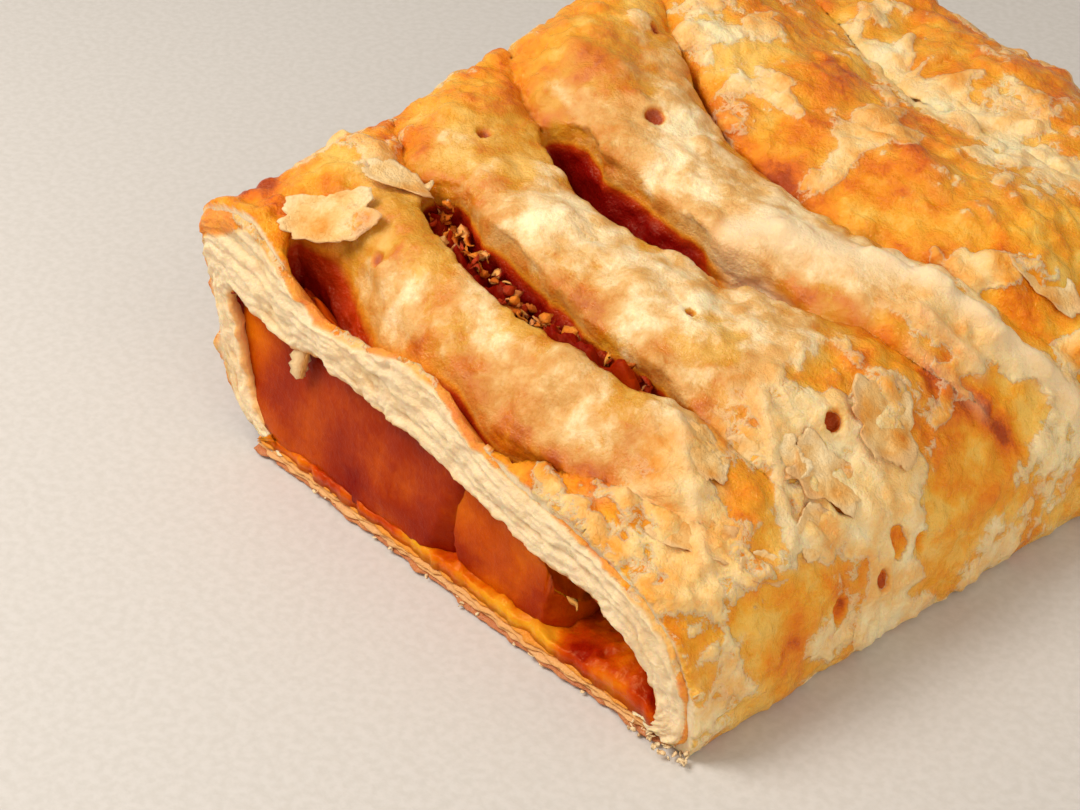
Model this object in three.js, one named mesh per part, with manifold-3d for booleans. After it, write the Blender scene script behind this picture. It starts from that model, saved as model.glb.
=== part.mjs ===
// Slab apple pie in puff pastry, cut across once so that its filling shows at one end.
// Millimetres, +Z up. X runs along the cut face, Y runs from the cut face to the closed far end,
// and the origin is the middle of the footprint on the face that the pie rests on.
import * as THREE from "three";
import { mergeVertices } from "three/addons/utils/BufferGeometryUtils.js";
import Module from "manifold-3d";

// ---- Driving dimensions -------------------------------------------------------------------
const WIDTH = 94;
const LENGTH = 126;
const HALF_WIDTH = WIDTH / 2;
const HALF_LENGTH = LENGTH / 2;
const CUT_Y = -HALF_LENGTH;
const SIDE_WALL = 9.5; // height of the upright edge before the top starts to curve in
const CROWN = 29; // height of the top at the lips of the slits, on the centre line
const CROWN_TILT = -0.13; // the pie puffed higher on its -X side
const CROWN_RISE = 4; // how much higher the middle of the length stands than the ends
const PUFF = 6; // extra height of the middle of the -X side
const STRIP_ARCH = 3.6; // how far each strip between two slits bulges above its lips
const CRUST_BASE = 2.2; // thickness of the base sheet
const GAP = 0.4; // clearance that keeps the filling off the crust, and apple off jelly
const JELLY_TOP = 4.4; // surface of the set juice that the apple lies in

// Edge of the top crust along the cut, and roof of the hollow there, as [x, z] from -X to +X.
const CUT_TOP = [
  [-46, 33], [-35, 36], [-22, 27], [-3, 30], [10, 24.5], [26, 22], [38, 19], [44, 15], [47, 9.5],
];
const CUT_ROOF = [
  [-46, 22.5], [-34, 21.5], [-22, 19.5], [-6, 19.5], [8, 17], [22, 14], [34, 11.5], [42, 6],
];
const CUT_REACH = 15; // how far from the cut its own profile still shows

// Slits from the cut end to the far end: left, middle and right point of the line [x, y], width
// at the middle, and the height that the slit reaches down to. The fourth stayed shut below the
// skin, and the last one baked into a crease.
const SLITS = [
  { line: [[-33, -57], [-8, -61], [21, -58]], wide: 3.2, down: 10 },
  { line: [[-26, -41.5], [0, -46.3], [27, -43.5]], wide: 4.4, down: 10 },
  { line: [[-25, -22], [-3, -25], [21.5, -19.5]], wide: 5, down: 10 },
  { line: [[-25, 3], [4, -4.3], [33, 4]], wide: 2, down: 29 },
  { line: [[-31, 35], [0, 27.5], [26, 32]], wide: 0, down: 0 },
];

const clamp = THREE.MathUtils.clamp;
const mix = THREE.MathUtils.lerp;
// Quarter-round rise from 0 to 1 over the distance radius.
const round = (d, radius) => Math.sqrt(1 - (1 - clamp(d / radius, 0, 1)) ** 2);

// Height of a profile at x, smoothed between its points.
function along(profile, x) {
  const last = profile.length - 1;
  let i = 0;
  while (i < last - 1 && x > profile[i + 1][0]) i++;
  const [x0, z0] = profile[i];
  const [x1, z1] = profile[i + 1];
  const straight = clamp((x - x0) / (x1 - x0), 0, 1);
  return mix(z0, z1, mix(straight, THREE.MathUtils.smoothstep(x, x0, x1), 0.5));
}

// ---- Outline of the footprint -------------------------------------------------------------
const FAR_TIP_X = -18; // where the far end reaches furthest
const RIGHT_TURN_Y = 8; // the right side starts to curve round to the far end here
const LEFT_TURN_Y = 36;

function rightEdge(y) {
  const t = clamp((y - RIGHT_TURN_Y) / (HALF_LENGTH - RIGHT_TURN_Y), 0, 1);
  return mix(FAR_TIP_X, HALF_WIDTH, Math.sqrt(1 - t ** 2.4));
}

function leftEdge(y) {
  const t = clamp((y - LEFT_TURN_Y) / (HALF_LENGTH - LEFT_TURN_Y), 0, 1);
  return mix(FAR_TIP_X, -HALF_WIDTH, Math.sqrt(1 - t ** 2.4));
}

// ---- Height of the top --------------------------------------------------------------------
// The curve y = a + bx + cx^2 through the three points of a slit's line.
function slitY({ line: [[x0, y0], [x1, y1], [x2, y2]] }, x) {
  const at0 = ((x - x1) * (x - x2)) / ((x0 - x1) * (x0 - x2));
  const at1 = ((x - x0) * (x - x2)) / ((x1 - x0) * (x1 - x2));
  const at2 = ((x - x0) * (x - x1)) / ((x2 - x0) * (x2 - x1));
  return y0 * at0 + y1 * at1 + y2 * at2;
}

// Height that the strip between two slit lines bulges at (x, y).
function stripArch(x, y) {
  const lines = [CUT_Y - 3, ...SLITS.map((s) => slitY(s, x)), HALF_LENGTH];
  for (let i = 0; i + 1 < lines.length; i++)
    if (y >= lines[i] && y <= lines[i + 1]) {
      const t = (y - lines[i]) / (lines[i + 1] - lines[i]);
      const span = clamp((lines[i + 1] - lines[i]) / 20, 0, 1);
      return STRIP_ARCH * span * Math.sqrt(Math.sin(Math.PI * t));
    }
  return 0;
}

function topHeight(x, y) {
  const rise = Math.max(0, 1 - ((y - 5) / 70) ** 2);
  const puff = PUFF * Math.exp(-(((x + 34) / 22) ** 2) - ((y - 4) / 26) ** 2);
  const crown = CROWN + CROWN_TILT * x + CROWN_RISE * rise + puff;
  const full = crown + stripArch(x, y) - SIDE_WALL;
  const atRight = round(rightEdge(y) - x, 26);
  const atLeft = round(x - leftEdge(y), 8) ** 0.7;
  const atEnd = round(HALF_LENGTH - y, 20) ** 0.8;
  const inside = SIDE_WALL + full * atRight * atLeft * atEnd;
  return mix(along(CUT_TOP, x), inside, THREE.MathUtils.smoothstep(y - CUT_Y, 0, CUT_REACH));
}

// ---- Meshes made of rings -----------------------------------------------------------------
function middleOf(points) {
  const sum = new THREE.Vector3();
  for (const p of points) sum.add(p);
  return sum.divideScalar(points.length);
}

// Joins rings of equal length into a closed body with flat ends. Each ring runs anticlockwise
// seen from -Y, and the rings follow each other towards +Y.
function ringBody(rings) {
  const points = rings.flat();
  const n = rings[0].length;
  const index = [];
  for (let r = 0; r + 1 < rings.length; r++)
    for (let i = 0; i < n; i++) {
      const a = r * n + i;
      const b = r * n + ((i + 1) % n);
      index.push(a, a + n, b, b, a + n, b + n);
    }
  // A fan from the middle of the first and last ring closes each end.
  const last = (rings.length - 1) * n;
  const hub = points.length;
  points.push(middleOf(rings[0]), middleOf(rings.at(-1)));
  for (let i = 0; i < n; i++) {
    const j = (i + 1) % n;
    index.push(hub, i, j);
    index.push(hub + 1, last + j, last + i);
  }
  const geometry = new THREE.BufferGeometry().setFromPoints(points);
  geometry.setIndex(index);
  return geometry;
}

// x samples from a to b, closer together at both ends.
function eased(a, b, count) {
  const at = (i) => mix(a, b, 0.5 - 0.5 * Math.cos((Math.PI * i) / count));
  return Array.from({ length: count + 1 }, (_, i) => at(i));
}

// Inset of the left foot: the -X wall leans out, most of all at the cut.
const footInset = (y) => mix(10, 3, clamp((y - CUT_Y) / 40, 0, 1));

// One outer section of the pie at y.
function outerRing(y) {
  const left = leftEdge(y);
  const right = rightEdge(y);
  const room = (right - left) / WIDTH;
  const foot = footInset(y) * room;
  const wall = SIDE_WALL * round(HALF_LENGTH - y, 3) ** 0.5;
  const ring = [
    [left + foot, 0],
    [mix(left + foot, right, 0.5), 0],
    [right - 1.2 * room, 0],
    [right - 0.3 * room, wall * 0.45],
  ];
  for (const x of eased(right, left, 22))
    ring.push([x, Math.max(wall, topHeight(x, y))]);
  ring.push([left + foot * 0.3, wall * 0.4]);
  return ring.map(([x, z]) => new THREE.Vector3(x, y, z));
}

// ---- The hollow that holds the filling ----------------------------------------------------
const CRUST_TOP = 8.5; // thickness of the top crust away from the cut
const HOLLOW_RIGHT = 4.6; // wall left between the hollow and the +X side
const HOLLOW_LEFT = 5.4;
const HOLLOW_END = 12;
const HOLLOW_MIDDLE = -10; // the hollow narrows towards this x at the far end
const WALL_SPRING = 13; // the roof leaves the -X wall at this height

function roof(x, y) {
  const inside = Math.max(topHeight(x, y) - stripArch(x, y) - CRUST_TOP, 7);
  return mix(along(CUT_ROOF, x), inside, THREE.MathUtils.smoothstep(y - CUT_Y, 0, CUT_REACH));
}

// One section of the hollow at y, drawn in by inset on every side.
function hollowRing(y, inset) {
  const room = round(HALF_LENGTH - HOLLOW_END - y, 14) * 0.9 + 0.1;
  const left = mix(HOLLOW_MIDDLE, leftEdge(y) + HOLLOW_LEFT, room) + inset;
  const right = mix(HOLLOW_MIDDLE, rightEdge(y) - HOLLOW_RIGHT, room) - inset;
  const floor = CRUST_BASE + inset;
  const at = (t) => mix(left, right, t);
  const bulge = (t) => Math.sin(Math.PI * t) ** 0.35;
  const ring = [
    [left, mix(floor, WALL_SPRING, 0.95)],
    [at(0.02), mix(floor, WALL_SPRING, 0.45)],
    [at(0.09), floor + 0.8],
    [at(0.22), floor],
    [at(0.6), floor],
    [at(0.94), floor],
    [right, floor + 2],
  ];
  for (const t of [0.97, 0.92, 0.84, 0.74, 0.64, 0.54, 0.44, 0.34, 0.24, 0.14, 0.06, 0.02]) {
    const spring = t > 0.5 ? floor + 2 : floor + 5;
    ring.push([at(t), mix(spring, mix(floor + 3, roof(at(t), y) - inset, room), bulge(t))]);
  }
  return ring.map(([x, z]) => new THREE.Vector3(x, y, z));
}

function hollowBody(inset) {
  const end = HALF_LENGTH - HOLLOW_END;
  const rings = [CUT_Y - 4, ...eased(CUT_Y, end, 12)].map((y) => hollowRing(y, inset));
  for (const p of rings.at(-1)) p.y -= inset;
  return ringBody(rings);
}

// ---- Solids for joining and cutting -------------------------------------------------------
const wasm = await Module();
wasm.setup();

function solid(geometry) {
  const bare = geometry.clone();
  bare.deleteAttribute("normal");
  bare.deleteAttribute("uv");
  const merged = mergeVertices(bare, 1e-3);
  const vertProperties = new Float32Array(merged.attributes.position.array);
  const triVerts = new Uint32Array(merged.index.array);
  return new wasm.Manifold(new wasm.Mesh({ numProp: 3, vertProperties, triVerts }));
}

function geometryOf(manifold) {
  const mesh = manifold.getMesh();
  const geometry = new THREE.BufferGeometry();
  geometry.setAttribute("position", new THREE.BufferAttribute(mesh.vertProperties, 3));
  geometry.setIndex(new THREE.BufferAttribute(mesh.triVerts, 1));
  geometry.computeVertexNormals();
  return geometry;
}

// A spindle-shaped blade that follows a slit's line and stands out above the top.
function slitBlade(slit) {
  const outline = new THREE.Shape();
  const steps = 10;
  const side = (i, sign) => {
    const t = i / steps;
    const x = mix(slit.line[0][0], slit.line[2][0], t);
    const half = (slit.wide / 2) * Math.max(Math.sin(Math.PI * t) ** 0.6, 0.06);
    return [x, slitY(slit, x) + sign * half];
  };
  outline.moveTo(...side(0, -1));
  for (let i = 1; i <= steps; i++) outline.lineTo(...side(i, -1));
  for (let i = steps; i >= 0; i--) outline.lineTo(...side(i, 1));
  const blade = new THREE.ExtrudeGeometry(outline, { depth: 50, bevelEnabled: false });
  return blade.translate(0, 0, slit.down);
}

// ---- Crust --------------------------------------------------------------------------------
function crust() {
  const stations = [
    ...Array.from({ length: 31 }, (_, i) => mix(CUT_Y, 42, i / 30)),
    ...[45, 48.5, 52, 55, 57.8, 60, 61.8, HALF_LENGTH],
  ];
  const rings = stations.slice(0, -1).map(outerRing);
  const tip = rings.at(-1).map((p) => new THREE.Vector3(
    mix(FAR_TIP_X, p.x, 0.72),
    HALF_LENGTH,
    p.z === 0 ? 0 : mix(4, p.z, 0.6),
  ));
  let body = solid(ringBody([...rings, tip]));
  body = body.subtract(solid(hollowBody(0)));
  for (const slit of SLITS.filter((s) => s.wide > 0))
    body = body.subtract(solid(slitBlade(slit)));
  return body;
}

// ---- Filling ------------------------------------------------------------------------------
const room = solid(hollowBody(GAP));

// A tall block, used to keep what lies inside it.
function block(low, high) {
  const size = new THREE.Vector3().subVectors(high, low);
  const middle = new THREE.Vector3().addVectors(low, high).multiplyScalar(0.5);
  return new THREE.BoxGeometry(size.x, size.y, size.z)
    .translate(middle.x, middle.y, middle.z);
}

function jelly() {
  const low = new THREE.Vector3(-WIDTH, CUT_Y, -1);
  const high = new THREE.Vector3(WIDTH, HALF_LENGTH, JELLY_TOP);
  return room.intersect(solid(block(low, high)));
}

const aboveJelly = solid(block(
  new THREE.Vector3(-WIDTH, CUT_Y, JELLY_TOP + GAP),
  new THREE.Vector3(WIDTH, HALF_LENGTH, 60),
));

// A stewed apple slice: a plump lens, bent round where the core was.
function slice({ at, size, turn, bend }) {
  const [length, depth, height] = size;
  const geometry = new THREE.SphereGeometry(1, 14, 8);
  const p = geometry.attributes.position;
  for (let i = 0; i < p.count; i++) {
    const [x, y, z] = [p.getX(i), -p.getZ(i), p.getY(i)];
    const deep = (y * depth * (1.22 - 0.22 * Math.abs(y))) / 2;
    const tall = (z * height * (1.2 - 0.2 * Math.abs(z))) / 2;
    p.setXYZ(i, (x * length) / 2, deep + bend * x * x, tall);
  }
  geometry.rotateZ(turn).translate(...at);
  return solid(geometry).intersect(room).intersect(aboveJelly);
}

// Centre, size (along X, along Y, height), turn about Z and bend of each slice, from the cut
// face to the far end. The first three were cut through together with the pie.
const SLICES = [
  { at: [-18.5, -61, 12], size: [41, 28, 19], turn: 0.03, bend: 2 },
  { at: [11.5, -60, 9.5], size: [18, 26, 14], turn: 0.1, bend: 2 },
  { at: [29, -56, 6.6], size: [16, 24, 8], turn: -0.1, bend: 1 },
  { at: [-19, -35, 14.5], size: [38, 20, 22], turn: 0.05, bend: 3 },
  { at: [18, -35.5, 11.5], size: [34, 20, 16], turn: -0.04, bend: 3 },
  { at: [-20, -13.5, 16], size: [37, 21, 27], turn: -0.05, bend: 3 },
  { at: [17.5, -13.5, 12], size: [34, 21, 18], turn: 0.05, bend: 2 },
  { at: [-20, 9.5, 17], size: [36, 20, 28], turn: 0.04, bend: 3 },
  { at: [15, 9.5, 12], size: [29, 20, 17], turn: -0.08, bend: 2 },
  { at: [-15, 32.5, 13], size: [34, 20, 18], turn: 0.02, bend: 2 },
];

// ---- Materials ----------------------------------------------------------------------------
const material = (color, roughness) =>
  new THREE.MeshStandardMaterial({ color, roughness, metalness: 0 });
const BAKED_PASTRY = material(0xe0a050, 0.55);
const SET_JUICE = material(0xb8560c, 0.15);
const STEWED_APPLE = material(0xc85a14, 0.3);

// ---- The pie ------------------------------------------------------------------------------
function node(name, body, finish) {
  const mesh = new THREE.Mesh(geometryOf(body), finish);
  mesh.name = name;
  return mesh;
}

const pie = new THREE.Group();
pie.add(node("crust", crust(), BAKED_PASTRY));
pie.add(node("apple_jelly", jelly(), SET_JUICE));
SLICES.forEach((spec, i) =>
  pie.add(node(`apple_slice_${i + 1}`, slice(spec), STEWED_APPLE)),
);

export default pie;
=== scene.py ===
"""Looks of the slab apple pie. Lengths are in millimetres in the CAD's frame until a mesh is made."""

import math

import bpy
import numpy as np
import openvdb
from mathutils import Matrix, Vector


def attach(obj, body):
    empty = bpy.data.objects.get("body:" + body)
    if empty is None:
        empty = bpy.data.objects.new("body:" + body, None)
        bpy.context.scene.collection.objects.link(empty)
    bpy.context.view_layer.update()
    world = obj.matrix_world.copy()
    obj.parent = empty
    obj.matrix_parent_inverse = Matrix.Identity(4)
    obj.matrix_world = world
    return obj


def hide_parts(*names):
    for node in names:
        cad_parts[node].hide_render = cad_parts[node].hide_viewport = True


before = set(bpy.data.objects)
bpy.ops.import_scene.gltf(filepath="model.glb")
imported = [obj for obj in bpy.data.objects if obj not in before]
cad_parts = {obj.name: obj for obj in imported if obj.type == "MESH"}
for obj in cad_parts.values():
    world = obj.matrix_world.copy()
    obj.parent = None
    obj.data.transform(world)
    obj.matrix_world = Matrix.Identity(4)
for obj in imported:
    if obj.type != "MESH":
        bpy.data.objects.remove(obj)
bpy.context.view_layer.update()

# ---- Driving dimensions --------------------------------------------------------------------
MM = 0.001
WIDTH = 94.0
LENGTH = 126.0
CUT_Y = -LENGTH / 2
FAR_Y = LENGTH / 2
VOXEL = 0.42
SIDE_WALL = 9.5  # height of the upright foot of the sides and the far end
CROWN = 29.0  # height of the top at X = 0 before the extra heights below
CROWN_TILT = -0.13  # rise of the top for each mm towards +X
CROWN_RISE = 4.0  # extra height of the middle of the length
PUFF = 6.0  # extra height of the middle of the -X side
CRUST_TOP = 7.5  # thickness of the crust over the filling
CRUST_BASE = 1.9  # thickness of the base sheet
CUT_REACH = 15.0  # over this distance the cut's section turns into the body's own shape
FAR_WALL = 12.0  # thickness of the far end's crust
FAR_X = -18.0  # the sides run together at this X on the far end
ROUND_RIGHT = 8.0  # from this Y on the +X side rounds off into the far end
ROUND_LEFT = 36.0  # and from this Y on the -X side
FACE_BACK = 0.9  # the crust's body stands this far behind the front of the torn edge
GRID_HALF = 52.0  # the crust's grid reaches this far to both sides
GRID_TOP = 47.0  # and this high
GRID_SPARE = 3.0  # and this far past the cut and the far end

# Section of the pie at the cut, as matching points (x, z) of the outer and the inner edge,
# from the foot of the left wall over the top to the foot of the right side.
SECTION = [
    ((-33, 0.3), (-29, 1.9)),
    ((-38.7, 1.9), (-34.5, 4.4)),
    ((-42.6, 5.8), (-37.4, 8.2)),
    ((-44.6, 11), (-38.6, 12.5)),
    ((-44.8, 18), (-39.6, 17.5)),
    ((-46.3, 25), (-41, 21)),
    ((-46.4, 32.6), (-39.8, 22.4)),
    ((-41, 34.8), (-36.5, 21.8)),
    ((-35, 36.2), (-32.6, 20.8)),
    ((-28.8, 32.2), (-27.5, 19.6)),
    ((-22, 27.2), (-21, 20.4)),
    ((-14, 27.5), (-13.5, 19.2)),
    ((-4, 30.2), (-5, 19.2)),
    ((3, 28.8), (2.5, 18.6)),
    ((10, 24.4), (9, 16.8)),
    ((18, 22.8), (16, 14.9)),
    ((26, 22), (23.5, 14)),
    ((33.5, 20.2), (30.5, 13.4)),
    ((39.5, 18.4), (36, 11.2)),
    ((44, 15), (39.8, 8)),
    ((46.6, 9.4), (41.8, 5)),
    ((47, 3), (41, 3)),
    ((45, 0.3), (37, 1.9)),
]

# Slits from the cut to the far end: left, middle and right point (x, y) of the line, the width
# at these, the depth as (x, depth), none for the crease that baked shut, and how far the far
# wall leans back for each mm of height.
SLITS = [
    dict(line=((-33, -57), (-8, -62.2), (21, -58)), wide=(5.0, 3.2, 1.8),
         deep=((-33, 30), (21, 4)), lean=0.5),
    dict(line=((-26, -41.5), (0, -46.3), (27, -43.5)), wide=(4.8, 6.0, 4.4),
         deep=((-26, 30),), lean=0.15),
    dict(line=((-25, -22), (-3, -25), (21.5, -19.5)), wide=(5.2, 6.4, 4.8),
         deep=((1, 30), (6, 6), (21.5, 1.5)), lean=0.15),
    dict(line=((-25, 3), (4, -4.3), (33, 4)), wide=(1.2, 1.2, 0.7),
         deep=((-25, 4), (33, 3)), lean=0.0),
    dict(line=((-31, 35), (0, 27.5), (26, 32)), wide=(0, 0, 0), deep=(), lean=0.0),
]
STRIP_RISE = [1.2, 3.8, 4.6, 4.6, 4.6, 4.4]  # how far the strips between the slits bulge


# ---- Small maths ---------------------------------------------------------------------------
def mix(a, b, t):
    return a + (b - a) * t


def step(t, low, high):
    """Smooth step from 0 at low to 1 at high."""
    t = np.clip((t - low) / (high - low), 0, 1)
    return t * t * (3 - 2 * t)


def arc(d, radius):
    """Quarter-round rise from 0 to 1 over the distance radius."""
    return np.sqrt(np.maximum(1 - (1 - np.clip(d / radius, 0, 1)) ** 2, 0))


def smooth_max(a, b, r):
    h = np.clip(0.5 + 0.5 * (a - b) / r, 0, 1)
    return mix(b, a, h) + r * h * (1 - h)


def blob(x, y, cx, cy, rx, ry):
    """A soft spot that is 1 in its middle."""
    u = (x - cx) / rx
    v = (y - cy) / ry
    return np.exp(-(u * u + v * v))


def add_spots(value, x, y, spots, gain=1.0):
    """A value with soft spots (x, y, size along x and y, amount) added to it."""
    for cx, cy, rx, ry, amount in spots:
        value = value + gain * amount * blob(x, y, cx, cy, rx, ry)
    return value


def follow(points, x):
    """Value at x of the straight pieces through points (x, value)."""
    return np.interp(x, [p[0] for p in points], [p[1] for p in points])


def noise(x, y, z, scale, seed):
    """Smooth random field between -1 and 1."""
    n = 32
    cube = np.random.default_rng(seed).random((n, n, n), dtype=np.float32) * 2 - 1
    cell = []
    for q in (x, y, z):
        q = np.asarray(q, dtype=np.float32) / scale + 1000.37
        i = np.floor(q).astype(np.int32)
        f = q - i
        cell.append((i % n, (i + 1) % n, f * f * (3 - 2 * f)))
    (x0, x1, fx), (y0, y1, fy), (z0, z1, fz) = cell
    low = mix(mix(cube[x0, y0, z0], cube[x1, y0, z0], fx), mix(cube[x0, y1, z0], cube[x1, y1, z0], fx), fy)
    high = mix(mix(cube[x0, y0, z1], cube[x1, y0, z1], fx), mix(cube[x0, y1, z1], cube[x1, y1, z1], fx), fy)
    return mix(low, high, fz)


def fbm(x, y, z, scale, seed, octaves=3):
    total = 0
    for k in range(octaves):
        total = total + noise(x, y, z, scale / 2**k, seed + k) * 0.55**k
    return total


# ---- Shape of the crust --------------------------------------------------------------------
def curve(points, x):
    """Value of a smooth curve through three points (x, value)."""
    (x0, a), (x1, b), (x2, c) = points
    return (
        a * (x - x1) * (x - x2) / ((x0 - x1) * (x0 - x2))
        + b * (x - x0) * (x - x2) / ((x1 - x0) * (x1 - x2))
        + c * (x - x0) * (x - x1) / ((x2 - x0) * (x2 - x1))
    )


def slit_y(slit, x):
    wobble = 0.9 * noise(x, 0 * x, 0 * x, 9.0, 31) + 0.4 * noise(x, 0 * x, 0 * x, 3.0, 32)
    return curve(slit["line"], x) + wobble


def slit_half(slit, x):
    (x0, _), (x1, _), (x2, _) = slit["line"]
    wide = curve(list(zip((x0, x1, x2), slit["wide"])), x)
    ends = np.minimum(np.clip((x - x0) / 6, -1, 1), np.clip((x2 - x) / 8, -1, 1))
    torn = 0.28 * noise(x, 0 * x, 0 * x, 4.0, 33) + 0.14 * noise(x, 0 * x, 0 * x, 1.3, 34)
    return wide / 2 * np.sign(ends) * np.sqrt(np.abs(ends)) * (1 + torn)


def side_edge(y, straight, start):
    """x of one side's outline: straight as far as y = start, then rounded."""
    t = np.clip((y - start) / (FAR_Y - start), 0, 1)
    return mix(FAR_X, straight, np.sqrt(np.maximum(1 - t**2.4, 0)))


def right_edge(y):
    return side_edge(y, WIDTH / 2, ROUND_RIGHT)


def left_edge(y):
    return side_edge(y, -WIDTH / 2, ROUND_LEFT)


def strip_arch(x, y):
    lines = [CUT_Y - 3 + 0 * x] + [slit_y(s, x) for s in SLITS] + [FAR_Y + 2 + 0 * x]
    arch = 0 * x
    for low, high, rise in zip(lines, lines[1:], STRIP_RISE):
        t = (y - low) / (high - low)
        inside = (t > 0) & (t < 1)
        arch = arch + np.where(inside, rise * np.sqrt(np.sin(np.pi * np.clip(t, 0, 1))), 0)
    return arch


def section_height(which, x):
    """Height of the outer (0) or inner (1) edge of the cut's section over its top."""
    return follow([pair[which] for pair in SECTION[6:21]], x)


def crown(x, y):
    rise = np.maximum(0, 1 - ((y - 5) / 70) ** 2)
    return CROWN + CROWN_TILT * x + CROWN_RISE * rise + PUFF * blob(x, y, -34, 4, 22, 26)


def shoulder(x, y):
    """1 on top of the pie, falling to 0 at its outline."""
    at_right = arc(right_edge(y) - x, 26)
    at_left = arc(x - left_edge(y), 8) ** 0.7
    at_end = arc(FAR_Y - y, 20) ** 0.8
    return at_right * at_left * at_end


def top_height(x, y, arched=1.0):
    fade = 1 - 0.65 * np.maximum(step(x, 28, 42), step(-x, 30, 44))
    arch = strip_arch(x, y) * fade * arched
    inside = SIDE_WALL + (crown(x, y) + arch - SIDE_WALL) * shoulder(x, y)
    return mix(section_height(0, x), inside, step(y - CUT_Y, 0, CUT_REACH))


def roof_height(x, y):
    inside = np.maximum(top_height(x, y, 0.0) - CRUST_TOP, 6)
    return mix(section_height(1, x), inside, step(y - CUT_Y, 0, CUT_REACH))


def section_side(which, z, side):
    """x of the section's outer or inner edge at height z, on its left (0) or right (1) side."""
    rows = SECTION[:7] if side == 0 else SECTION[:15:-1]
    return follow([row[which][::-1] for row in rows], z)


def crust_outside(x, y, z):
    """Field of the crust's outer shape, below 0 inside."""
    top = top_height(x, y) + 0.5 * fbm(x, y, 0 * x, 7.0, 11, 2) * shoulder(x, y)
    gx, gy = np.gradient(top, VOXEL)
    slope = np.minimum(np.sqrt(1 + gx**2 + gy**2), 4)
    body = (z - top[..., None]) / slope[..., None]
    near_cut = 1 - step(y - CUT_Y, 0, 40)[..., None]
    lean = (section_side(0, z, 0) + WIDTH / 2)[None, None, :] * near_cut
    wave = 0.5 * noise(x, y, 0 * x, 12.0, 12)
    left = (left_edge(y) + wave)[..., None] + lean - x[..., None]
    right = x[..., None] - (right_edge(y) + wave)[..., None]
    tuck = 1.6 * (1 - arc(z, 4))  # the foot draws in a little just above the table
    body = smooth_max(body, np.maximum(left, right) + tuck, 1.0)
    body = smooth_max(body, (y - FAR_Y)[..., None] + tuck, 1.0)
    body = np.maximum(body, -z)
    return np.maximum(body, (CUT_Y + FACE_BACK - y)[..., None])


def crust_hollow(x, y, z):
    """Field of the hollow that holds the filling, below 0 inside."""
    roof = roof_height(x, y) + 0.5 * noise(x, y, 0 * x, 6.0, 13)
    hollow = (z - roof[..., None]) / 1.2
    hollow = smooth_max(hollow, CRUST_BASE - z, 1.0)
    end = arc(FAR_Y - FAR_WALL - y, 14)
    inner_left = np.maximum(section_side(1, z, 0)[None, None, :] - 0.5, -42.5)
    room = 1.6 * (1 - step(y - CUT_Y, 4, 16)) - 3.5 * step(y, -5, 35)
    inner_right = section_side(1, z, 1)[None, None, :] + room[..., None]
    spread = ((right_edge(y) - WIDTH / 2) * end - 40 * (1 - end))[..., None]
    hollow = smooth_max(hollow, x[..., None] - (inner_right + spread), 1.0)
    hollow = smooth_max(hollow, inner_left + 20 * (1 - end)[..., None] - x[..., None], 1.5)
    return smooth_max(hollow, (y - FAR_Y + FAR_WALL)[..., None], 1.0)


def slit_blade(slit, x, y, z, lip):
    """Field of the space that a slit cuts out of the top, below 0 inside."""
    behind = y - slit_y(slit, x)
    side = (np.abs(behind) - slit_half(slit, x))[..., None] + 0 * z
    far_lean = slit["lean"] * np.maximum(z - lip[..., None] + 6, 0)
    start = slit["line"][0][0]
    leaning = np.where(behind > 0, step(-x, -15, 5) * step(x, start, start + 8), 0)
    side = side - far_lean * leaning[..., None]
    blade = smooth_max(side, (lip - follow(slit["deep"], x))[..., None] - z, 1.0)
    return np.maximum(blade, 8 - z)


def crust_field():
    """Signed field of the crust, below 0 inside, on a regular grid, and the grid's origin."""
    low = np.array([-GRID_HALF, CUT_Y - GRID_SPARE, -2.0])
    high = (GRID_HALF, FAR_Y + GRID_SPARE, GRID_TOP)
    axes = [np.arange(a, b, VOXEL, dtype=np.float32) for a, b in zip(low, high)]
    x, y = np.meshgrid(axes[0], axes[1], indexing="ij")
    z = axes[2]
    body = smooth_max(crust_outside(x, y, z), -crust_hollow(x, y, z), 0.5)
    lip = top_height(x, y, 0.0)
    for slit in SLITS:
        if slit["deep"]:
            body = smooth_max(body, -slit_blade(slit, x, y, z, lip), 0.7)
    return body.astype(np.float32), low


def polygons(field, origin):
    """Quad mesh of a field's zero surface: points in mm and faces."""
    grid = openvdb.FloatGrid(3 * VOXEL)
    grid.copyFromArray(np.clip(field, -3 * VOXEL, 3 * VOXEL))
    grid.transform = openvdb.createLinearTransform(voxelSize=VOXEL)
    points, quads = grid.convertToQuads(isovalue=0.0)
    points = np.asarray(points, dtype=np.float64) + origin
    quads = np.asarray(quads, dtype=np.int64)
    a, b, c, d = (points[quads[:, k]] for k in range(4))
    volume = np.einsum("ij,ij->", np.cross(a, b), c) + np.einsum("ij,ij->", np.cross(a, c), d)
    return points, quads if volume > 0 else quads[:, ::-1]


# ---- Meshes in Blender ---------------------------------------------------------------------
def make_mesh(name, points, faces, values):
    """Object from points in mm, equal-sized faces and named values per vertex."""
    points = np.asarray(points, dtype=np.float32) * MM
    faces = np.asarray(faces, dtype=np.int32)
    sides = faces.shape[1]
    mesh = bpy.data.meshes.new(name)
    mesh.vertices.add(len(points))
    mesh.vertices.foreach_set("co", points.ravel())
    mesh.loops.add(faces.size)
    mesh.loops.foreach_set("vertex_index", faces.ravel())
    mesh.polygons.add(len(faces))
    mesh.polygons.foreach_set("loop_start", np.arange(len(faces), dtype=np.int32) * sides)
    mesh.polygons.foreach_set("use_smooth", np.full(len(faces), True))
    for key, column in values.items():
        layer = mesh.attributes.new(key, "FLOAT", "POINT")
        layer.data.foreach_set("value", np.asarray(column, dtype=np.float32).ravel())
    mesh.update(calc_edges=True)
    mesh.validate()
    obj = bpy.data.objects.new(name, mesh)
    bpy.context.scene.collection.objects.link(obj)
    return obj


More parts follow.
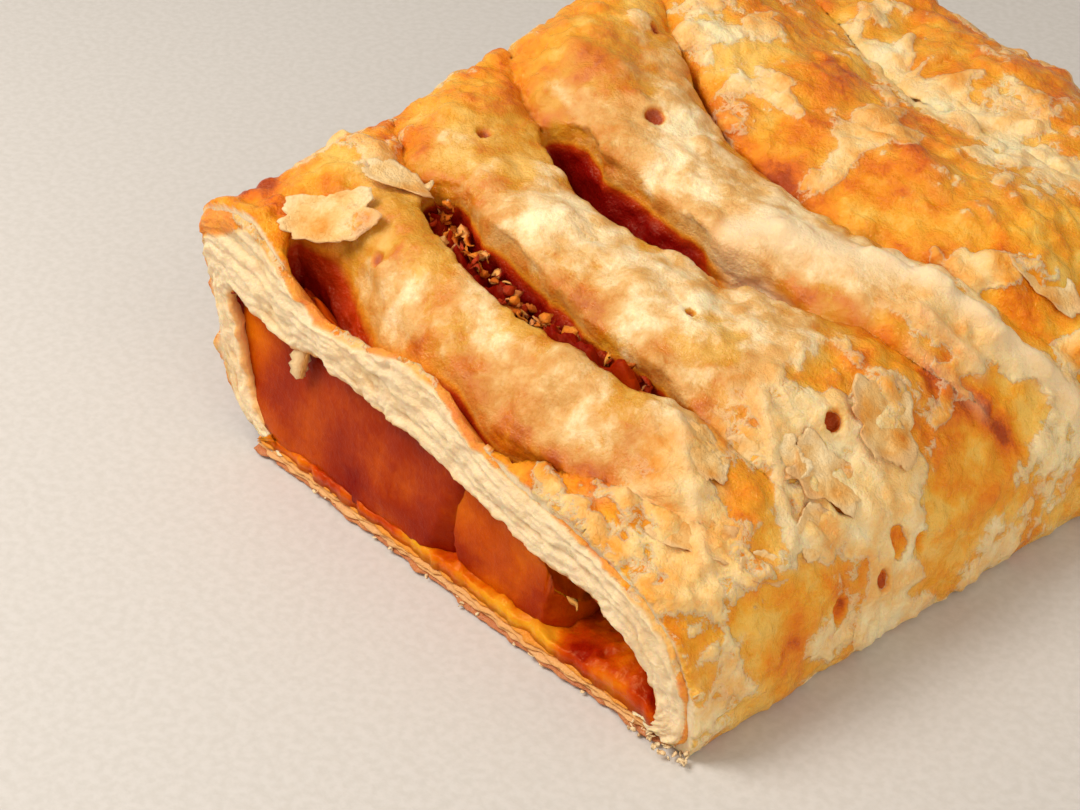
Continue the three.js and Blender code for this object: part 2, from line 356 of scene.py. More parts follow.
def halves(quads):
    """Each quad as two triangles."""
    return np.concatenate([quads[:, [0, 1, 2]], quads[:, [0, 2, 3]]])


def vertex_normals(points, quads):
    a, b, c, d = (points[quads[:, k]] for k in range(4))
    face = np.cross(c - a, d - b)
    normal = np.zeros_like(points)
    for k in range(4):
        np.add.at(normal, quads[:, k], face)
    return normal / np.maximum(np.linalg.norm(normal, axis=1, keepdims=True), 1e-9)


# ---- Relief and baking of the crust's skin -------------------------------------------------
MAP_STEP = 0.25
BLISTERS = 900


def blister_map():
    """Height of the small blisters over the plan of the pie, on a square grid."""
    rng = np.random.default_rng(5)
    xs = np.arange(-52, 52, MAP_STEP)
    ys = np.arange(-66, 68, MAP_STEP)
    height = np.zeros((len(xs), len(ys)))
    for _ in range(BLISTERS):
        cx, cy = rng.uniform(-48, 48), rng.uniform(-63, 64)
        radius = rng.choice([0.8, 1.2, 1.8, 2.8], p=[0.4, 0.33, 0.19, 0.08]) * rng.uniform(0.8, 1.3)
        tall = radius * rng.uniform(0.16, 0.34)
        i0, i1 = np.searchsorted(xs, [cx - radius, cx + radius])
        j0, j1 = np.searchsorted(ys, [cy - radius, cy + radius])
        u = (xs[i0:i1, None] - cx) / radius
        v = (ys[None, j0:j1] - cy) / (radius * rng.uniform(0.7, 1.0))
        dome = tall * np.clip(1 - u * u - v * v, 0, 1) ** 0.8
        height[i0:i1, j0:j1] = np.maximum(height[i0:i1, j0:j1], dome)
    return xs, ys, height


def sample_map(grid, x, y):
    xs, ys, values = grid
    i = np.clip((x - xs[0]) / MAP_STEP, 0, len(xs) - 1.001)
    j = np.clip((y - ys[0]) / MAP_STEP, 0, len(ys) - 1.001)
    i0, j0 = i.astype(int), j.astype(int)
    fi, fj = i - i0, j - j0
    near = mix(values[i0, j0], values[i0 + 1, j0], fi)
    far = mix(values[i0, j0 + 1], values[i0 + 1, j0 + 1], fi)
    return mix(near, far, fj)


# Swellings of the top skin: x, y, size along x and y, height.
SWELLINGS = [
    (15, -54, 7, 5, 2.0),
    (15.5, -54, 2.4, 2, -1.3),
    (-14, -52, 6, 4, 1.2),
    (1, -54, 4, 4, -0.5),
    (-26, -38, 6, 4, 0.8),
    (-8, -36, 6, 5, 1.4),
    (8, -33, 5, 6, 1.0),
    (18, -37, 6, 4, 1.0),
    (-14, -19, 5, 4, 1.5),
    (-24, -12, 7, 5, 1.2),
    (-6, -10, 7, 4, 1.0),
    (12, -14, 12, 3, 1.2),
    (-7, 14, 7, 6, 1.5),
    (11, 9, 7, 5, 1.2),
    (24, 12, 7, 5, 1.0),
    (2, 40, 9, 7, 1.4),
    (39, -22, 5, 5, 1.6),
    (32, -14, 6, 5, 0.8),
    (40, -47, 5, 5, 0.8),
    (30, -55, 5, 3, 0.8),
]

# Folds pressed into the skin: start, end, half width, height and how pale the fold is.
FOLDS = [
    ((8, -18), (24, -8), 2.6, 0.5, 0.9),
    ((22, -9), (33, -4), 1.4, 1.4, 1.1),
    ((33, -4), (44, 5), 1.6, 1.6, 1.0),
    ((31, -10), (38, -6), 1.0, 0.8, 0.4),
    ((33, -13), (41, -9), 1.0, 0.7, 0.3),
    ((-30, 34), (-12, 29), 1.8, 0.9, 0.4),
    ((-12, 29), (6, 27), 2.0, 1.1, 0.7),
    ((6, 27), (26, 31), 2.4, 1.1, 0.7),
    ((-10, 30), (-13, 37), 0.9, 0.7, 0.5),
    ((-7, 30), (-7, 38), 0.9, 0.7, 0.5),
    ((-3, 29), (0, 37), 0.9, 0.7, 0.5),
    ((4, 29), (12, 35), 0.9, 0.6, 0.4),
    ((42, -58), (45, -30), 1.2, 0.5, 0.1),
    ((30, -36), (44, -44), 0.8, 0.5, 0.3),
    ((27, -47), (40, -54), 0.9, 0.6, 0.3),
    ((24, -61), (36, -48), 0.9, 0.5, 0.2),
]

# Pinholes and torn spots: x, y, z, radius and depth.
PITS = [
    (36, -30, 27, 1.1, 1.6),
    (-14, -12, 41, 1.3, 1.2),
    (-26, -31, 41, 1.0, 1.0),
    (-28, 1, 45, 0.7, 1.0),
    (46.5, -28, 14, 1.5, 0.6),
    (47, -31, 10, 0.9, 0.6),
    (47, -38, 9, 1.1, 0.7),
    (47, -24, 12, 0.9, 0.6),
    (42, -34, 20, 1.4, 0.6),
    (17, -35, 35, 0.8, 1.0),
    (-19, -54, 34, 0.9, 0.7),
]

# How much darker (above 0) or paler (below 0) the oven left a place: x, y, size along x and y.
BAKE_SPOTS = [
    (-20, 6, 8, 4, -0.4),
    (18, -38, 8, 6, -0.25),
    (24, -18, 8, 6, -0.2),
    (13, -1, 8, 4, -0.3),
    (46, -45, 6, 30, -0.2),
    (8, 30, 26, 5, -0.3),
    (-42, -56, 7, 7, 0.12),
    (-40, -38, 8, 12, 0.1),
    (-6, -62, 14, 2.5, 0.2),
    (24, -56, 7, 5, 0.2),
    (-26, -14, 8, 6, 0.15),
    (-1, -4, 3, 3, 0.6),
    (32, -14, 8, 7, 0.3),
    (-7, 16, 8, 8, 0.3),
    (10, 8, 9, 7, 0.3),
    (41, -14, 5, 8, 0.2),
    (0, 50, 30, 8, 0.3),
]
STRIP_BROWN = [0.45, 0.32, 0.3, 0.26, 0.36, 0.4]  # how brown each strip is, from the cut on

# Where the outermost leaf came up pale and dry (above 0) or where none lies on the amber skin
# (below 0): x, y, size along x and y.
LEAF_SPOTS = [
    (-30, -60, 10, 5, -0.9),
    (-8, -63, 12, 3, -0.9),
    (6, -62, 5, 3, 0.6),
    (14, -62, 5, 2.5, -0.6),
    (-20, -50, 8, 8, -0.5),
    (-26, -32, 8, 8, -0.5),
    (20, -44, 8, 4, 0.4),
    (27, -35, 6, 5, -0.5),
    (-41, -57, 6, 5, -0.9),
    (-32, -30, 8, 9, -0.7),
    (30, 19, 8, 5, -0.6),
    (4, 40, 8, 5, -0.4),
    (15, -54, 8, 6, 0.5),
    (10, -34, 8, 8, 0.4),
    (-12, -19, 8, 4, 0.25),
    (6, -18, 7, 5, 0.9),
    (16, -13, 9, 4, 1.1),
    (27, -6, 7, 3, 1.0),
    (36, -1, 6, 3, 0.9),
    (-22, 8, 7, 6, 0.7),
    (-26, -13, 7, 6, -0.8),
    (-1, -4, 3, 3, -0.8),
    (-7, 16, 8, 8, -0.8),
    (12, 6, 8, 7, -0.5),
    (-14, 30, 9, 3, 0.6),
    (3, 28, 9, 2.5, 0.8),
    (18, 31, 9, 3, 0.8),
    (32, -15, 6, 6, -0.8),
    (42, -12, 5, 7, -0.6),
    (39, -24, 6, 6, 0.7),
    (40, -36, 7, 8, 0.75),
    (46, -30, 5, 7, 0.5),
    (37, -51, 7, 4, 0.7),
    (46, -46, 5, 6, -0.8),
    (45, -58, 3, 5, 0.3),
    (28, -60, 6, 3, 0.4),
    (-38, -50, 8, 12, -0.5),
    (-38, -20, 8, 16, -0.4),
]


def fold_at(x, y):
    """Height and paleness that the folds give to the skin."""
    high, pale = 0 * x, 0 * x
    for (x0, y0), (x1, y1), half, tall, white in FOLDS:
        dx, dy = x1 - x0, y1 - y0
        t = np.clip(((x - x0) * dx + (y - y0) * dy) / (dx * dx + dy * dy), 0, 1)
        away = np.hypot(x - x0 - t * dx, y - y0 - t * dy) / half
        away = away * (1 + 0.35 * noise(x, y, 0 * x, 3.0, 35))
        near = np.exp(-(away**2))
        high = np.maximum(high, tall * near)
        pale = np.maximum(pale, white * near)
    return high, pale


def strip_brown(x, y):
    value = STRIP_BROWN[0] + 0 * x
    for slit, before, after in zip(SLITS, STRIP_BROWN, STRIP_BROWN[1:]):
        value = value + (after - before) * step(y - slit_y(slit, x), -2, 2)
    return value


def crust_zones(x, y, z, normal, depth):
    """Where the surface is the face at the cut, the inside, and the baked skin, each 0 to 1."""
    plan = np.minimum(np.minimum(x - left_edge(y), right_edge(y) - x), FAR_Y - y)
    under = step(-normal[:, 2], 0.4, 0.8) * step(-z, -1.2, -0.4)
    front = -CUT_Y - FACE_BACK
    face = step(-normal[:, 1], 0.75, 0.95) * step(-y, front - 0.6, front - 0.2)
    inner = step(depth, 1.2, 4.5) * step(plan, 3.5, 5.0) * (1 - under) * (1 - face)
    wall = step(-normal[:, 0] * np.sign(x), 0.1, 0.5) * step(np.abs(x), 26, 30) * step(plan, 1.5, 2.5)
    inner = np.maximum(inner, wall * step(-z, -24, -20) * (1 - face) * (1 - under))
    return face, inner, (1 - inner) * (1 - face) * (1 - under)


def pits_at(x, y, z):
    """Depth of the pinholes and torn spots."""
    pit = 0 * x
    for cx, cy, cz, radius, deep in PITS:
        away = np.sqrt((x - cx) ** 2 + (y - cy) ** 2 + 0.3 * (z - cz) ** 2)
        pit = np.maximum(pit, deep * step(-away, -radius * 1.25, -radius * 0.6))
    return pit


def softness(x, y, z):
    """1 where steam kept the strips soft, falling to 0 where the skin is crisp."""
    soft = np.clip(1.15 - step(x, 24, 33) - 0.85 * step(y - slit_y(SLITS[3], x), -3, 1), 0, 1)
    soft = soft * step(y - slit_y(SLITS[0], x), -1, 1) * (1 - 0.75 * step(-x, 25, 36))
    return np.maximum(soft, 0.3 * step(x, 30, 40) * step(-z, -16, -10))


def leaf_cover(x, y, z, soft, blister):
    """Where the outermost leaf is dry and pale (above 0) and where it is missing (below 0)."""
    warp_x = x + 2.5 * noise(x, y, z, 5.0, 41)
    warp_y = y + 2.5 * noise(x, y, z, 5.0, 42)
    crest = strip_arch(x, y) / 4.6
    leaf = 0.75 * fbm(warp_x, warp_y, z, 8.0, 43, 4) + 0.5 * blister
    leaf = leaf + 1.2 * (crest - 0.78) * soft - 0.22 * (1 - soft)
    return add_spots(leaf, x, y, LEAF_SPOTS, 0.8)


def baking(x, y, z, normal, depth, relief, pit):
    """How brown the oven left the skin."""
    brown = add_spots(strip_brown(x, y), x, y, BAKE_SPOTS)
    side = step(-normal[:, 2], -0.6, -0.2)
    brown = mix(brown, 0.16 + 0.14 * noise(x, y, z, 9.0, 61), side * step(x, 20, 40))
    for slit in SLITS[:4]:
        behind = y - slit_y(slit, x) - slit_half(slit, x)
        brown = brown + 0.3 * np.exp(-((behind - 0.5) ** 2) / 5) * step(depth, -2, 0.5)
    brown = brown + 0.3 * fbm(x, y, z, 5.0, 62, 3) + 0.12 * (relief - 0.1) + pit
    return np.clip(brown, 0, 1.3)


def juice_and_depth_shade(x, y, z, depth, inner, shallow):
    """How much juice the inside took up, with painted shade: the walls turn from amber to deep red the
    deeper they lie in the hollow and the slits, and near the cut, on the -X half of the mouth, the inside
    is deep red all over.
    """
    reach = mix(4.5, 9.0, step(slit_y(SLITS[0], x) - y, -7, -5))
    juice_and_shade = inner * mix(0.25, 1.0, step(depth / reach, 0.1, 1.0)) * (1 - shallow)
    juice_and_shade = np.maximum(juice_and_shade, inner * step(x, -12, 6) * step(-y, 30, 40))
    return juice_and_shade * (1 - step(-x, 34, 37) * step(z, 24, 28))


def make_crust():
    """The crust: a body from its field, with the skin's relief pushed along the normals."""
    points, quads = polygons(*crust_field())
    normal = vertex_normals(points, quads)
    x, y, z = points.T
    depth = top_height(x, y) - z
    face, inner, skin = crust_zones(x, y, z, normal, depth)
    pit = pits_at(x, y, z)
    fold, fold_pale = fold_at(x, y)
    soft = softness(x, y, z)
    calm = 1 - 0.35 * soft
    blister = sample_map(blister_map(), x, y) * step(normal[:, 2], 0.2, 0.7)
    lumps = (0.55 * fbm(x, y, z, 4.6, 51, 2) + 0.26 * fbm(x, y, z, 1.8, 52, 2)) * calm
    wrinkle = 1 - 2 * np.abs(noise(x * 0.5, y * 1.2, z, 2.4, 53))
    leaf = leaf_cover(x, y, z, soft, blister) + 1.2 * fold_pale - 2 * pit
    leaf = leaf + 0.7 * lumps
    relief = lumps + 0.2 * wrinkle * (0.4 + (1 - soft)) + 1.3 * blister * calm - pit
    relief = relief + (1 - soft) * (0.22 * step(leaf, 0.0, 0.15) + 0.2 * step(leaf, 0.5, 0.6))
    swell = add_spots(fold, x, y, SWELLINGS)
    shallow = step(-depth, -8, -5) * step(x, 2, 6) * blob(x, y, 15, -20.5, 12, 6)
    inside = inner * 0.35 * fbm(x, y, z, 2.5, 54, 3)
    inside = inside + inner * shallow * 0.6 * noise(x * 0.25, y * 1.8, z * 1.8, 1.3, 56)
    shift = skin * (relief + swell * step(normal[:, 2], 0.3, 0.8)) + inside
    pale = np.maximum(face, np.maximum(shallow * inner, fold_pale * step(x, 0, 8) * step(30 - y, 0, 10)))
    values = dict(
        brown=baking(x, y, z, normal, depth, relief, pit),
        juice_and_shade=juice_and_depth_shade(x, y, z, depth, inner, shallow),
        pale=pale,
        leaf=leaf,
        soft=soft,
    )
    return make_mesh("pie_crust", points + normal * shift[:, None], quads, values)


# ---- Torn pastry at the cut -----------------------------------------------------------------
BAND_STEP = 0.3
BAND_ROWS = 44


def resample(pairs, spacing):
    """Evenly spaced smooth points along matching outer and inner polylines."""
    pairs = np.array(pairs, dtype=float)
    middle = pairs.mean(axis=1)
    length = np.concatenate([[0], np.cumsum(np.linalg.norm(np.diff(middle, axis=0), axis=1))])
    at = np.linspace(0, length[-1], int(length[-1] / spacing))
    soft = np.ones(9) / 9
    lines = []
    for side in (0, 1):
        line = np.stack([np.interp(at, length, pairs[:, side, k]) for k in (0, 1)], axis=1)
        padded = np.concatenate([np.repeat(line[:1], 4, 0), line, np.repeat(line[-1:], 4, 0)])
        lines.append(np.stack([np.convolve(padded[:, k], soft, "valid") for k in (0, 1)], axis=1))
    return at, lines[0], lines[1]


def tube_faces(count, ring):
    """Quads between count rings of ring vertices each."""
    i = np.arange(count - 1)[:, None] * ring
    j = np.arange(ring)[None, :]
    k = (j + 1) % ring
    quads = np.stack([i + j, i + k, i + ring + k, i + ring + j], axis=-1)
    return quads.reshape(-1, 4)


def ribbon(x, z, front, back, thick):
    """Thin level sheet from front to back along x: points of a closed strip of six-point rings."""
    rings = np.zeros((len(x), 6, 3))
    columns = [(front, 0.25), (front + 0.7, 1.0), (back, 1.0)]
    for k, (depth, fat) in enumerate(columns):
        for sign, slot in ((1, k), (-1, 5 - k)):
            rings[:, slot, 0] = x
            rings[:, slot, 1] = depth
            rings[:, slot, 2] = z + sign * fat * thick / 2
    return rings.reshape(-1, 3)


def make_cut_band():
    """The torn edge of the crust round the mouth: one fluffy, fibrous band."""
    at, outer, inner = resample(SECTION, BAND_STEP)
    across = outer - inner
    room = np.linalg.norm(across, axis=1)[:, None]
    t = np.linspace(0, 1, BAND_ROWS)[None, :]
    s = at[:, None] + 0 * t
    u = t * room
    zero = 0 * s
    lean = u + 1.1 * noise(s, zero, zero, 7.0, 71) + 0.8 * noise(s, u, zero, 3.0, 72)
    fibre = fbm(s * 0.22, lean, zero, 1.5, 73, 3)
    streak = 1 - 2 * np.abs(noise(s * 0.12, lean, zero, 1.1, 76))
    fluff = fbm(s, u, zero, 1.3, 77, 3)
    height = 0.46 * fibre + 0.2 * streak + 0.3 * fluff + 0.5 * noise(s, u, zero, 6.0, 80)
    edge = np.minimum(u, room - u)
    ragged = 0.25 * fbm(s, zero, zero, 1.8, 81, 2)
    back = 1.6 * (1 - arc(edge + 0.1 + ragged, 1.5))
    spread = mix(-0.015, 0.96, t)[..., None] + 0.03 * (noise(s, zero, u, 2.0, 82) * (t - 0.5))[..., None]
    flat = inner[:, None, :] + across[:, None, :] * spread
    rings = np.zeros((len(at), BAND_ROWS + 2, 3))
    rings[:, 1:-1, 0] = flat[..., 0]
    rings[:, 1:-1, 2] = np.maximum(flat[..., 1], 0.05)
    rings[:, 1:-1, 1] = CUT_Y + 0.35 + back - height
    for here, way in ((0, 0.2), (-1, 0.7)):
        rings[:, here, [0, 2]] = mix(inner, outer, way)
        rings[:, here, 1] = CUT_Y + 3
    rims = ((0, 0), (1, 1))
    from_inner = np.pad(u, rims, mode="edge")
    from_outer = np.pad(room - u, rims, mode="edge")
    deep = np.pad(-height, rims, mode="edge")
    juice_and_shade = 0.42 * step(-from_inner, -1.5, -0.2) * (0.6 + 0.4 * noise(from_inner, deep, 0 * deep, 2.0, 84))
    corner = blob(rings[..., 0], rings[..., 2], -43, 33, 7, 6)
    golden = step(-from_outer, -1.0 - 4 * corner, -0.35 - 3 * corner)
    # Painted shade: the recessed fibres of the torn face are made browner and less pale.
    shade = step(deep, 0.1, 0.9)
    patch = noise(*rings.transpose(2, 0, 1), 5.0, 85)
    brown = 0.3 + 0.3 * golden + 0.3 * shade
    pale = np.clip(1 - 0.9 * golden - 0.5 * shade - 0.25 * step(patch, 0.1, 0.6), 0, 1)
    leaf = 0.3 - 0.5 * golden + 0.5 * patch
    values = dict(brown=brown, juice_and_shade=juice_and_shade, pale=pale, leaf=leaf, soft=1 - golden)
    return make_mesh("pie_cut_band", rings.reshape(-1, 3), tube_faces(len(at), BAND_ROWS + 2), values)


def make_base_leaves():
    """The few thin leaves of the base sheet, seen edge on below the filling."""
    xs = np.arange(-36, 45, BAND_STEP)
    zero = 0 * xs
    points, faces, juice_and_shade_amount = [], [], []
    total = 0
    for k, height in enumerate((0.3, 0.75, 1.2, 1.65)):
        lift = 0.16 * noise(xs, zero + 3 * k, zero, 6.0, 81)
        fray = 0.55 * fbm(xs, zero + 7 * k, zero, 2.4, 82) + 0.4 * noise(xs, zero, zero, 7.0, 83)
        front = CUT_Y - 0.5 + 0.2 * k - fray + 1.5 * step(xs, 39, 45)
        thick = 0.6 + 0.2 * noise(xs, zero + 5 * k, zero, 2.0, 86)
        points.append(ribbon(xs, height + lift, front, CUT_Y + 3, thick))
        faces.append(tube_faces(len(xs), 6) + total)
        total += 6 * len(xs)
        juice_and_shade_amount.append(np.full(6 * len(xs), (0.05, 0.14, 0.18, 0.3)[k]))
    juice_and_shade = np.concatenate(juice_and_shade_amount)
    lowest = np.arange(total) < total // 4
    brown = np.where(lowest, 1.0, 0.7)
    pale = np.where(lowest, 0.1, 0.4)
    values = dict(brown=brown, juice_and_shade=juice_and_shade, pale=pale, leaf=0 * juice_and_shade, soft=1 + 0 * juice_and_shade)
    return make_mesh("base_leaves", np.concatenate(points), np.concatenate(faces), values)


# ---- Flakes lifted off the skin ------------------------------------------------------------
# x, y, half length, half width, turn about Z in degrees, lift, tilt about the length, and
# curl of the edge.
FLAKES = [
    (-28, -54, 6.4, 3.6, 49, 1.0, 7, 1.0),
    (-26.5, -45, 4.6, 2.4, 35, 0.8, 8, 0.9),
    (38, -24, 5.4, 4.2, -20, 0.35, -3, 0.5),
    (39.5, -34, 5.2, 3.4, 20, 0.35, -4, 0.6),
    (35, -40, 5.0, 2.8, 50, 0.3, -3, 0.5),
    (43, -48, 3.0, 1.9, 35, 0.4, -4, 0.5),
    (37, -53, 5.0, 2.4, 30, 0.35, -3, 0.5),
    (43, -40, 3.8, 2.6, -60, 0.35, -3, 0.5),
    (32, -47, 4.0, 2.4, -10, 0.3, -3, 0.5),
    (34, 11, 4.8, 2.6, 10, 0.5, -4, 0.7),
]
FLAKE_THICK = 0.16
FLAKE_RINGS = 12
FLAKE_SPOKES = 120


def surface_frame(x, y):
    """Point on the smooth top and its normal."""
    h = 0.8
    z0, zx, zy = top_height(np.array([x, x + h, x]), np.array([y, y, y + h]))
    normal = Vector((-(zx - z0) / h, -(zy - z0) / h, 1)).normalized()
    return Vector((x, y, z0)), normal


def flake_faces():
    """Triangles of a flake: rings of spokes round a middle point, the underside and the rim."""
    k = np.arange(FLAKE_SPOKES)
    m = (k + 1) % FLAKE_SPOKES
    under = 1 + (FLAKE_RINGS - 1) * FLAKE_SPOKES
    last = under - FLAKE_SPOKES
    middle = np.stack([0 * k, 1 + k, 1 + m], axis=1)
    rows = 1 + tube_faces(FLAKE_RINGS - 1, FLAKE_SPOKES)[:, [0, 3, 2, 1]]
    rim = np.stack([last + k, under + last + k, under + last + m, last + m], axis=1)
    below = [under + middle[:, ::-1], halves(under + rows[:, ::-1])]
    return np.concatenate([middle, halves(rows), *below, halves(rim)])


def flake_shape(cx, cy, long, wide, turn, lift, tilt, curl, seed):
    """Points of a flake, top before underside, and rows of its brown, pale and leaf values."""
    centre, normal = surface_frame(cx, cy)
    a = math.radians(turn)
    along = Vector((math.cos(a), math.sin(a), 0))
    along = (along - normal * along.dot(normal)).normalized()
    across = normal.cross(along)
    theta = np.linspace(0, 2 * np.pi, FLAKE_SPOKES, endpoint=False)
    u, v = np.cos(theta), np.sin(theta)
    edge = 0.95 + 0.22 * noise(u, v, 0 * u, 0.6, seed) + 0.16 * noise(u, v, 0 * u, 0.28, seed + 1)
    edge = (edge + 0.09 * noise(u, v, 0 * u, 0.1, seed + 6)) * (u**4 + v**4) ** -0.25
    r = np.linspace(0, 1, FLAKE_RINGS)[1:, None]
    px = np.append(0, r * edge * u * long)
    py = np.append(0, r * edge * v * wide)
    far = (px / long) ** 2 + (py / wide) ** 2
    flat = np.array(centre) + np.outer(px, along) + np.outer(py, across)
    drop = (top_height(flat[:, 0], flat[:, 1]) - flat[:, 2]) * normal.z
    swell = add_spots(0.0, cx, cy, SWELLINGS)
    high = drop + lift + swell + curl * far * 0.5 + math.tan(math.radians(tilt)) * py
    high = high + 0.4 * noise(px, py, 0 * px, 2.5, seed + 2)
    high = high + 0.15 * noise(px, py, 0 * px, 0.9, seed + 3)
    top = flat + np.outer(high, normal)
    brown = 0.5 + 0.45 * noise(px, py, 0 * px, 3.0, seed + 4)
    pale = 0.35 * step(far, 0.6, 1.0)
    leaf = 0.4 + 0.5 * noise(px, py, 0 * px, 4.0, seed + 5)
    points = np.concatenate([top, top - FLAKE_THICK * np.array(normal)])
    return points, np.tile(np.stack([brown, pale, leaf]), 2)


def make_flakes():
    rng = np.random.default_rng(17)
    triangles = flake_faces()
    points, faces, looks = [], [], []
    for spec in FLAKES:
        shape, look = flake_shape(*spec, int(rng.integers(1000)))
        faces.append(triangles + len(shape) * len(points))
        points.append(shape)
        looks.append(look)
    brown, pale, leaf = np.concatenate(looks, axis=1)
    values = dict(brown=brown, juice_and_shade=0 * brown, pale=pale, leaf=leaf, soft=0.55 + 0 * brown)
    return make_mesh("pie_flakes", np.concatenate(points), np.concatenate(faces), values)


# ---- Filling -------------------------------------------------------------------------------
# CAD node, centre, half sizes, turn about Z in degrees, ridge height into the slit above it and
# that slit's number (None where no slit is above).
SLICES = [
    ("apple_slice_1", (-19.5, -51, 12), (27.5, 14, 10.5), 2, 6.0, 0),
    ("apple_slice_2", (12.8, -53.5, 9.4), (10.6, 10, 8.5), 4, 0.0, None),
    ("apple_slice_3", (29, -46, 5.2), (9.0, 8, 2.6), -6, 0.0, None),
    ("apple_slice_4", (-19, -41, 14), (19, 10, 9.5), 3, 9.0, 1),
    ("apple_slice_5", (17, -42, 11.5), (17, 9.5, 8.5), -2, 9.0, 1),
    ("apple_slice_6", (-20, -14, 15), (18.5, 10.5, 9.5), -3, 6.0, 2),
    ("apple_slice_7", (17, -14, 12), (17, 10.5, 7.5), 3, 2.0, 2),
    ("apple_slice_8", (-20, 9.5, 15), (18, 10, 9.5), 3, 0.0, None),
    ("apple_slice_9", (15, 9.5, 12), (14.5, 10, 7.5), -5, 0.0, None),
    ("apple_slice_10", (-15, 32.5, 13), (17, 10, 8), 1, 0.0, None),
]
TORN_EDGE = ((9, 40), (13, 15.4), (18.7, 12.4), (21.5, 10.6), (23.5, 6))  # top of slice 2, x and z
JELLY_TOP = 4.6
JELLY_FLOOR = 1.6
SLICE_FLOOR = 2.6


def sphere_grid(rows, columns):
    """Unit sphere as rows from the bottom pole to the top pole: points and faces."""
    phi = np.linspace(-np.pi / 2, np.pi / 2, rows)[1:-1, None]
    theta = np.linspace(0, 2 * np.pi, columns, endpoint=False)[None, :]
    level = np.sin(phi) + 0 * theta
    body = np.stack([np.cos(phi) * np.cos(theta), np.cos(phi) * np.sin(theta), level], axis=-1)
    points = np.concatenate([[[0, 0, -1]], body.reshape(-1, 3), [[0, 0, 1]]])
    quads = tube_faces(rows - 2, columns) + 1
    k = np.arange(columns)
    m = (k + 1) % columns
    top = 1 + (rows - 3) * columns
    low = np.stack([0 * k, 1 + m, 1 + k], axis=1)
    high = np.stack([0 * k + len(points) - 1, top + k, top + m], axis=1)
    return points, np.concatenate([halves(quads), low, high])


def make_slice(index, name, centre, half, turn, ridge, slit):
    unit, tris = sphere_grid(70, 140) if index < 7 else sphere_grid(40, 80)
    squared = np.sign(unit) * np.abs(unit) ** np.array([0.6, 0.7, 0.5])
    a = math.radians(turn)
    px, py, pz = (squared * np.array(half)).T
    x = centre[0] + px * math.cos(a) - py * math.sin(a)
    y = centre[1] + px * math.sin(a) + py * math.cos(a)
    z = centre[2] + 1.5 * pz
    lump = 0.5 * fbm(x, y, z, 5.0, 91 + index, 3)
    x, y, z = x + lump * unit[:, 0], y + lump * unit[:, 1], z + lump * unit[:, 2]
    gap = 0.35 + 0.3 * noise(x, y, 0 * x, 4.0, 96)
    x = np.maximum(x, section_side(1, z, 0) - 0.7)
    z = np.clip(z, SLICE_FLOOR, roof_height(x, y) - gap)
    if index == 1:
        z = np.minimum(z, follow(TORN_EDGE, x) + 0.8 * fbm(x, y, 0 * x, 2.0, 99, 3))
    if slit is not None:
        (x0, _), _, (x1, _) = SLITS[slit]["line"]
        near = np.exp(-(((y - slit_y(SLITS[slit], x)) / 2.6) ** 2))
        near = near * step(x, x0, x0 + 4) * step(-x, -x1, 4 - x1)
        bumpy = 1 + 0.35 * fbm(x, y, 0 * x, 2.2, 95, 3)
        z = z + ridge * near * np.maximum(unit[:, 2], 0) ** 0.5 * bumpy
    streak = 0.2 * noise(x * 0.4, 0 * x, z, 1.2, 94)
    lowest = CUT_Y + 0.5 + 0.16 * np.maximum(z - 4, 0) + 0.3 * fbm(x * 0.5, 0 * x, z, 3.5, 97, 3) + streak
    y = np.maximum(y, lowest + 0.8 * index * (index == 1))
    tone_and_shading = 0.6 + 0.4 * fbm(x, y, z, 7.0, 98, 2) - 0.2 * (index == 1)
    if index == 0:
        # Painted shade: the first slice is darker at its upper end towards +X, under the crust's ceiling;
        # it is also lighter towards its left end.
        tone_and_shading = tone_and_shading + 0.5 * step(x, -2, 7) * step(z, 8, 14) - 0.25 * step(-x, 16, 38)
    # Painted shade: the slices under the crust, seen only through the slits, are made darker.
    if index > 2:
        tone_and_shading = tone_and_shading + 0.25
    points = np.stack([x, y, z], axis=1)
    return make_mesh(name.replace("apple", "stewed"), points, tris, dict(tone_and_shading=np.clip(tone_and_shading, 0, 1)))


